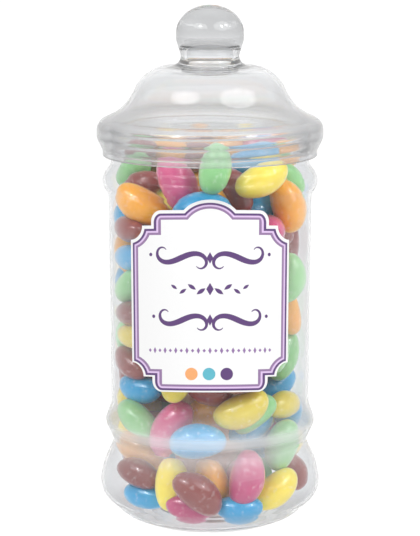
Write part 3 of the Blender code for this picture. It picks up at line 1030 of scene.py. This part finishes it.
def bean_tree():
    """Sets one ball-shaped mesh on each point and shapes it into a bean by the point's own sizes."""
    tree, given = new_tree(
        "jelly_beans",
        [
            ("Rings", "NodeSocketInt", 14),
            ("Segments", "NodeSocketInt", 22),
            ("Unevenness", "NodeSocketFloat", 0.0004),
            ("Material", "NodeSocketMaterial", None),
        ],
    )
    ball = add_node(
        tree,
        "GeometryNodeMeshUVSphere",
        {"Segments": given["Segments"], "Rings": given["Rings"], "Radius": 1.0},
    )
    position = position_of(tree)
    # The ball's own axis is Z; the bean's length is X.
    x, y, z = parts_of(tree, position)
    kept = noted(tree, ball.outputs["Mesh"], "ball", vector_of(tree, z, y, times(tree, x, -1.0)))
    middle = noted(tree, given["Geometry"], "middle", position)
    small = (0.01, 0.01, 0.01)
    beans = add_node(
        tree, "GeometryNodeInstanceOnPoints", {"Points": middle, "Instance": kept, "Scale": small}
    )
    real = add_node(tree, "GeometryNodeRealizeInstances", {"Geometry": beans.outputs[0]})
    x, y, z = parts_of(tree, named(tree, "ball", "FLOAT_VECTOR"))
    # Blunter ends than an ellipsoid's, and one end a little fuller than the other.
    along = times(tree, x, x)
    spread = reckon(tree, "MAXIMUM", minus(tree, 1.0, along), BLUNT_LIMIT)
    blunt = plus(tree, 1.0, times(tree, spread, -BLUNT_END))
    fuller = plus(tree, 1.0, times(tree, x, named(tree, "egg")))
    girth = times(tree, reckon(tree, "POWER", spread, -BLUNT_GIRTH), fuller)
    sizes = parts_of(tree, named(tree, "size", "FLOAT_VECTOR"))
    bend = times(tree, named(tree, "bend"), minus(tree, along, BEND_MIDDLE))
    across = minus(tree, times(tree, y, girth, sizes[1]), bend)
    shaped = vector_of(tree, times(tree, x, blunt, sizes[0]), across, times(tree, z, girth, sizes[2]))
    turning = add_node(
        tree, "FunctionNodeEulerToRotation", {"Euler": named(tree, "turning", "FLOAT_VECTOR")}
    )
    turned_shape = add_node(
        tree, "FunctionNodeRotateVector", {"Vector": shaped, "Rotation": turning.outputs[0]}
    )
    place = vectors(tree, "ADD", named(tree, "middle", "FLOAT_VECTOR"), turned_shape.outputs[0])
    noise = add_node(tree, "ShaderNodeTexNoise", {"Vector": place, "Scale": 130.0, "Detail": 1.0})
    swell = times(tree, minus(tree, noise.outputs[0], 0.5), given["Unevenness"])
    away = vectors(tree, "NORMALIZE", turned_shape.outputs[0])
    lumpy = vectors(tree, "ADD", place, vectors(tree, "MULTIPLY", away, swell))
    close_tree(tree, placed(tree, real.outputs[0], lumpy), given["Material"])
    return tree


def bean_points(name, heap, chosen, dice):
    """A mesh of bare points, one for each chosen bean, with the bean's sizes and turn on it."""
    mesh = bpy.data.meshes.new(name)
    mesh.from_pydata([tuple(heap.centres[i] * MM) for i in chosen], [], [])
    turning = []
    size = []
    for i in chosen:
        turning.extend(Quaternion(heap.turns[i]).to_euler())
        size.extend((heap.half_lengths[i] * MM, heap.half_widths[i] * MM, heap.half_depths[i] * MM))
    for label, kind, values in (
        ("turning", "FLOAT_VECTOR", turning),
        ("size", "FLOAT_VECTOR", size),
        ("bend", "FLOAT", heap.bends[chosen] * MM),
        ("egg", "FLOAT", heap.eggs[chosen]),
        ("shade", "FLOAT", dice.uniform(0.0, 1.0, len(chosen))),
    ):
        attribute = mesh.attributes.new(label, kind, "POINT")
        attribute.data.foreach_set("vector" if kind == "FLOAT_VECTOR" else "value", values)
    return mesh


def make_beans(inner_run):
    """One piece for each colour, over a smaller core."""
    dice = np.random.default_rng(SEED)
    heap = Heap(inner_run, dice)
    heap.settle(SETTLING_STEPS)
    tree = bean_tree()
    for colour, shade in BEAN_COLOURS.items():
        name = colour + "_beans"
        chosen = [k for k in heap.kept if heap.colours[k] == colour]
        points = bean_points(name + "_points", heap, chosen, dice)
        piece = made_by(tree, points, name, {"Material": candy(name + "_candy", shade)})
        for extra in ("ball", "middle", "size", "turning", "bend", "egg"):
            if extra in piece.data.attributes:
                piece.data.attributes.remove(piece.data.attributes[extra])
        finish_piece(piece, "candy_shell", "beans")


def make_core(wall_tree):
    """The plain lump behind the beans, seen only in the gaps between them."""
    corners = [
        (0.0, 8.0, 0.0),
        (CORE_LUMP_RADIUS, 8.0, 5.0),
        (CORE_LUMP_RADIUS + 2, 60.0, 30.0),
        (CORE_LUMP_RADIUS, CORE_LUMP_TOP_Z, 8.0),
        (0.0, CORE_LUMP_TOP_Z + 3, 0.0),
    ]
    section = filled_in(rounded_run(corners), 3.0)
    mesh = section_mesh("core_section", section, lambda radius, z: False)
    settings = {
        "Steps Round": 48,
        "Ripple": 0.006,
        "Ripple Scale": 70.0,
        "Material": candy("core_candy", (0.62, 0.36, 0.26)),
    }
    core = made_by(wall_tree, mesh, "bean_core", settings)
    finish_piece(core, "candy_shell", "beans")


# ---------------------------------------------------------------- jar and lid


def let_light_in(piece):
    """Clear plastic holds back hardly any light, so light reaches the beans as if it weren't there."""
    piece.visible_shadow = False
    piece.visible_diffuse = False


def make_jar(wall_tree, section):
    """The blown jar, with its screw thread round the neck."""
    outer_neck = NECK_RADIUS - JAR_WALL / 2
    fine = finer_between(filled_in(section, RUN_STEP), THREAD_LOW_Z, THREAD_HIGH_Z, THREAD_STEP)
    mesh = section_mesh(
        "jar_section", fine, lambda radius, z: radius > outer_neck and z > THREAD_LOW_Z - 1
    )
    settings = {
        **JAR_RIPPLE,
        "Thread Depth": THREAD_DEPTH * MM,
        "Thread Pitch": THREAD_PITCH * MM,
        "Thread Low": THREAD_LOW_Z * MM,
        "Thread High": THREAD_HIGH_Z * MM,
        "Material": clear_plastic("clear_jar_plastic", JAR_TINT_PAINTED_SHADE, JAR_CLEARNESS_PAINTED_VEIL, JAR_EDGE_PAINTED_SHADE, **JAR_FINISH),
    }
    jar = made_by(wall_tree, mesh, "clear_jar", settings)
    let_light_in(jar)
    finish_piece(jar, "clear_jar_plastic", "jar")


def finer_between(points, low_z, high_z, longest):
    """The same run with shorter steps where it passes between two heights."""
    fine = [points[0]]
    for start, end in zip(points, points[1:]):
        step = longest if max(start[1], end[1]) > low_z and min(start[1], end[1]) < high_z else 1e9
        fine.extend(filled_in([start, end], step)[1:])
    return fine


def make_lid(wall_tree, top_z):
    """The moulded lid, with its ball knob and the core hole that runs up the knob's neck."""
    section = filled_in(lid_section(top_z)[::-1], RUN_STEP)
    mesh = section_mesh("lid_section", section, lambda radius, z: False)
    plastic = clear_plastic("clear_lid_plastic", LID_TINT_PAINTED_SHADE, LID_CLEARNESS_PAINTED_VEIL, LID_EDGE_PAINTED_SHADE, **LID_FINISH)
    lid = made_by(wall_tree, mesh, "clear_lid", {**LID_RIPPLE, "Material": plastic})
    let_light_in(lid)
    finish_piece(lid, "clear_lid_plastic", "lid")


# ---------------------------------------------------------------- label


def oval_arc(centre, wide, tall, start, end, steps=10):
    """Points of an upright oval's arc between two angles in degrees."""
    points = []
    for i in range(steps + 1):
        angle = math.radians(start + (end - start) * i / steps)
        points.append((centre[0] + wide * math.cos(angle), centre[1] + tall * math.sin(angle)))
    return points


def arc(centre, radius, start, end, steps=10):
    """Points of a round arc between two angles in degrees."""
    return oval_arc(centre, radius, radius, start, end, steps)


def plaque_loop(margin):
    """The plaque's outline a margin inside its edge: shoulders, square steps, scooped corners, an arch."""
    wide = margin * SIDE_SPREAD
    drop = PRINT_DROP if margin > 0 else 0.0
    round_wide = PLAQUE_SHOULDER_ROUND - wide
    round_tall = PLAQUE_SHOULDER_ROUND - margin
    shoulder_x = PLAQUE_SHOULDER - PLAQUE_SHOULDER_ROUND
    scoop_wide = PLAQUE_SCOOP_WIDE + wide
    scoop_tall = PLAQUE_SCOOP_TALL + margin
    trim = math.degrees(math.asin(margin / scoop_tall))
    arch = PLAQUE_ARCH_ROUND - margin
    arch_z = PLAQUE_ARCH_TOP - PLAQUE_ARCH_ROUND
    arch_start = math.degrees(math.asin((PLAQUE_FOOT - margin - arch_z) / arch))
    low_scoop = (PLAQUE_SIDE, -PLAQUE_STEP)
    high_scoop = (PLAQUE_SIDE, PLAQUE_STEP)
    low_shoulder = (shoulder_x, -PLAQUE_FOOT + PLAQUE_SHOULDER_ROUND)
    high_shoulder = (shoulder_x, PLAQUE_FOOT - PLAQUE_SHOULDER_ROUND)
    right = oval_arc(low_shoulder, round_wide, round_tall, -90, 0)
    right.append((PLAQUE_SHOULDER - wide, -PLAQUE_STEP + margin))
    right += oval_arc(low_scoop, scoop_wide, scoop_tall, 180 - trim, 90 + trim)
    right += oval_arc(high_scoop, scoop_wide, scoop_tall, -90 - trim, -180 + trim)
    right.append((PLAQUE_SHOULDER - wide, PLAQUE_STEP - margin))
    right += oval_arc(high_shoulder, round_wide, round_tall, 0, 90)
    right += oval_arc((0.0, arch_z), arch, arch, arch_start, 90, 12)
    left = [(-x, z) for x, z in right[-2::-1]]
    loop = [(x, z - drop) for x, z in right + left]
    return filled_in(loop + loop[:1], LABEL_STEP)[:-1]


def scroll(middle, length, curl, lean, width, side=1):
    """A lying S-shaped flourish, thick in its middle, with both ends curled in."""
    steps = 44
    x, z = 0.0, 0.0
    line = [(x, z, lean)]
    for i in range(steps):
        share = (i + 0.5) / steps
        heading = math.radians(lean + curl * share**2.2)
        x += math.cos(heading) * length / 2 / steps
        z += math.sin(heading) * length / 2 / steps
        line.append((x, z, lean + curl * ((i + 1) / steps) ** 2.2))
    half = [(-x, -z, heading) for x, z, heading in line[:0:-1]] + line
    left, right = [], []
    for i, (x, z, heading) in enumerate(half):
        along = abs(i / steps - 1)
        reach = width / 2 * (1 - along**1.6) + SCROLL_HAIRLINE / 2
        across = math.radians(heading + 90)
        left.append((x + reach * math.cos(across), z + reach * math.sin(across)))
        right.append((x - reach * math.cos(across), z - reach * math.sin(across)))
    outline = left + right[::-1]
    return [(middle[0] + side * x, middle[1] + z) for x, z in outline]


def lozenge(middle, half_width, half_height):
    """A small upright diamond."""
    x, z = middle
    return [(x + half_width, z), (x, z + half_height), (x - half_width, z), (x, z - half_height)]


def leaf(middle, length, width, lean):
    """A pointed leaf."""
    steps = 8
    ahead = math.radians(lean)
    outline = []
    for side, order in ((1, range(steps)), (-1, range(steps, 0, -1))):
        for i in order:
            along = (i / steps - 0.5) * length
            across = side * math.sin(math.pi * i / steps) * width / 2
            x = along * math.cos(ahead) - across * math.sin(ahead)
            z = along * math.sin(ahead) + across * math.cos(ahead)
            outline.append((middle[0] + x, middle[1] + z))
    return outline


def label_shapes():
    """Every printed field in the order in which it is printed: ink, outline."""
    shapes = []
    margin = 0.0
    for ink, width in PLAQUE_BANDS:
        shapes.append((ink, plaque_loop(margin)))
        margin += width
    shapes.append(("white", plaque_loop(margin)))
    for height, reach, lean in SCROLL_ROWS:
        for side in (-1, 1):
            flourish = scroll((side * reach * 0.56, height), reach * 1.75, 265, lean, 2.1, side)
            shapes.append(("deep_purple", flourish))
            dot = (side * (reach * 1.2), height - math.copysign(1.4, lean))
            shapes.append(("deep_purple", arc(dot, 0.75, 0, 330, 11)))
        shapes.append(("deep_purple", lozenge((0.0, height), 1.3, 2.4)))
    shapes.append(("deep_purple", lozenge((0.0, SPRIG_Z), 1.5, 2.6)))
    for side in (-1, 1):
        for i in range(SPRIG_LEAVES):
            sway = 1 if i % 2 else -1
            place = (side * (3.6 + SPRIG_GAP * i), SPRIG_Z + 0.9 * sway)
            leaf_shape = leaf(place, 4.4 - 0.4 * i, 1.7 - 0.15 * i, side * 35 * sway)
            shapes.append(("deep_purple", leaf_shape))
    for i in range(-DIAMOND_PAIRS, DIAMOND_PAIRS + 1):
        tall = 1.35 if i % 2 == 0 else 0.8
        shapes.append(("mid_purple", lozenge((i * DIAMOND_GAP, DIAMOND_Z), 0.7, tall)))
    for ink, x in DISCS:
        shapes.append((ink, arc((x, DISC_Z), DISC_RADIUS, 0, 345, 23)))
    return shapes


def signed_area(outline):
    """The area inside an outline, positive where it runs anticlockwise."""
    pairs = zip(outline, outline[1:] + outline[:1])
    return sum(a[0] * b[1] - b[0] * a[1] for a, b in pairs) / 2


def printed_sheet(shapes):
    """Points and triangles of the flat sheet, with the ink of each triangle."""
    points = []
    edges = []
    faces = []
    for _, outline in shapes:
        first = len(points)
        points.extend(outline if signed_area(outline) > 0 else outline[::-1])
        indices = list(range(first, len(points)))
        edges.extend(zip(indices, indices[1:] + indices[:1]))
        faces.append(indices)
    columns = int(PLAQUE_SIDE / LABEL_GRID)
    rows = int(PLAQUE_ARCH_TOP / LABEL_GRID)
    for i in range(-columns, columns + 1):
        for k in range(-rows, rows + 1):
            points.append((i * LABEL_GRID, k * LABEL_GRID))
    flat, _, triangles, _, _, sources = delaunay_2d_cdt([Vector(p) for p in points], edges, faces, 1, 1e-4)
    inks = []
    kept = []
    for triangle, source in zip(triangles, sources):
        if source:
            kept.append(list(triangle))
            inks.append(shapes[max(source)][0])
    return flat, kept, inks


def make_label(outer_run):
    """The label: a thin printed sheet round the front of the jar, with a plain paper back."""
    middle_z = top_of("label") - PLAQUE_ARCH_TOP
    middle_radius = float(wall_radius(outer_run, middle_z))
    flat, triangles, inks = printed_sheet(label_shapes())
    used = sorted({corner for triangle in triangles for corner in triangle})
    place = {old: new for new, old in enumerate(used)}
    vertices = []
    for lift in (LABEL_GAP + LABEL_THICKNESS, LABEL_GAP):
        for old in used:
            across, up = flat[old]
            turn = across / middle_radius
            height = middle_z + up - PLAQUE_DIP * middle_radius * (1 - math.cos(turn))
            radius = (float(wall_radius(outer_run, height)) + lift) * MM
            vertices.append((radius * math.sin(turn), -radius * math.cos(turn), height * MM))
    back = len(used)
    front_faces = [[place[c] for c in triangle] for triangle in triangles]
    back_faces = [[c + back for c in face[::-1]] for face in front_faces]
    once = {}
    for face in front_faces:
        for a, b in zip(face, face[1:] + face[:1]):
            if once.pop((b, a), None) is None:
                once[(a, b)] = True
    rim = [[b, a, a + back, b + back] for a, b in once]
    mesh = bpy.data.meshes.new("plaque_label")
    mesh.from_pydata(vertices, [], front_faces + back_faces + rim)
    names = list(INKS)
    for ink in names:
        mesh.materials.append(print_ink(ink + "_ink", INKS[ink]))
    ink_numbers = [names.index(ink) for ink in inks]
    plain = names.index("white")
    ink_numbers += [plain] * (len(back_faces) + len(rim))
    mesh.polygons.foreach_set("material_index", ink_numbers)
    mesh.shade_smooth()
    mesh.set_sharp_from_angle(angle=math.radians(40))
    label = bpy.data.objects.new("plaque_label", mesh)
    bpy.context.scene.collection.objects.link(label)
    finish_piece(label, "printed_label", "label")


# ---------------------------------------------------------------- floor, light, camera


def make_floor():
    """A pale light table."""
    mesh = bpy.data.meshes.new("floor")
    corners = [(x * TABLE_HALF, y * TABLE_HALF, 0) for x, y in ((-1, -1), (1, -1), (1, 1), (-1, 1))]
    mesh.from_pydata(corners, [], [(0, 1, 2, 3)])
    floor = bpy.data.objects.new("floor", mesh)
    bpy.context.scene.collection.objects.link(floor)
    material, _, shader = new_material("light_table")
    set_values(
        shader,
        {
            "Base Color": (0.06, 0.06, 0.06, 1.0),
            "Roughness": 0.9,
            "Emission Color": (1.0, 1.0, 1.0, 1.0),
            "Emission Strength": 1.0,
        },
    )
    mesh.materials.append(material)


def facing_jar(thing, azimuth, elevation, distance):
    """Sets a light or the camera off the jar's middle; azimuth 0 is in front and grows to the right."""
    around, up = math.radians(azimuth), math.radians(elevation)
    away = Vector((math.sin(around) * math.cos(up), -math.cos(around) * math.cos(up), math.sin(up)))
    thing.location = MIDDLE + away * distance
    thing.rotation_euler = away.to_track_quat("Z", "Y").to_euler()
    bpy.context.scene.collection.objects.link(thing)


def make_world():
    """Soft studio light: a white backdrop, greyer overhead and dimmer in the room behind the viewer."""
    world = bpy.data.worlds.new("studio")
    bpy.context.scene.world = world
    world.use_nodes = True
    tree = world.node_tree
    background = tree.nodes["Background"]
    _, depth, height = parts_of(tree, add_node(tree, "ShaderNodeTexCoord").outputs["Generated"])
    by_side = mapped(tree, depth, 0.0, 1.0, *ROOM_SIDE)
    by_rise = mapped(tree, height, 0.0, 1.0, *ROOM_RISE)
    dimmed = mapped(tree, times(tree, by_side, by_rise), 1.0, ROOM_LIGHT)
    lit = times(tree, ramp_of(tree, height, STUDIO_LIGHT), dimmed)
    seen = add_node(tree, "ShaderNodeLightPath").outputs["Is Camera Ray"]
    tree.links.new(reckon(tree, "MAXIMUM", lit, seen), background.inputs[0])
    background.inputs[1].default_value = 1.0


def add_light(name, azimuth, elevation, distance, width, height, power):
    """An oval light that faces the jar."""
    light = bpy.data.lights.new(name, "AREA")
    light.shape = "ELLIPSE"
    light.size = width
    light.size_y = height
    light.energy = power
    facing_jar(bpy.data.objects.new(name, light), azimuth, elevation, distance)


def make_camera():
    """A long lens a little above the jar."""
    lens = bpy.data.cameras.new("camera")
    lens.sensor_width = LENS_SENSOR
    lens.lens = LENS_LENGTH
    camera = bpy.data.objects.new("camera", lens)
    facing_jar(camera, 0.0, CAMERA_TILT, CAMERA_DISTANCE)
    bpy.context.scene.camera = camera


def main():
    scene = bpy.context.scene
    scene.view_settings.view_transform = "Standard"
    scene.cycles.caustics_refractive = False
    scene.cycles.caustics_reflective = False
    make_camera()
    make_world()
    for light in LIGHTS:
        add_light(*light)
    make_floor()
    outer_run, inner_run, section = jar_sections(top_of("jar"))
    wall_tree = turned_tree()
    make_jar(wall_tree, section)
    make_lid(wall_tree, top_of("lid"))
    make_beans(inner_run)
    make_core(wall_tree)
    make_label(outer_run)


main()
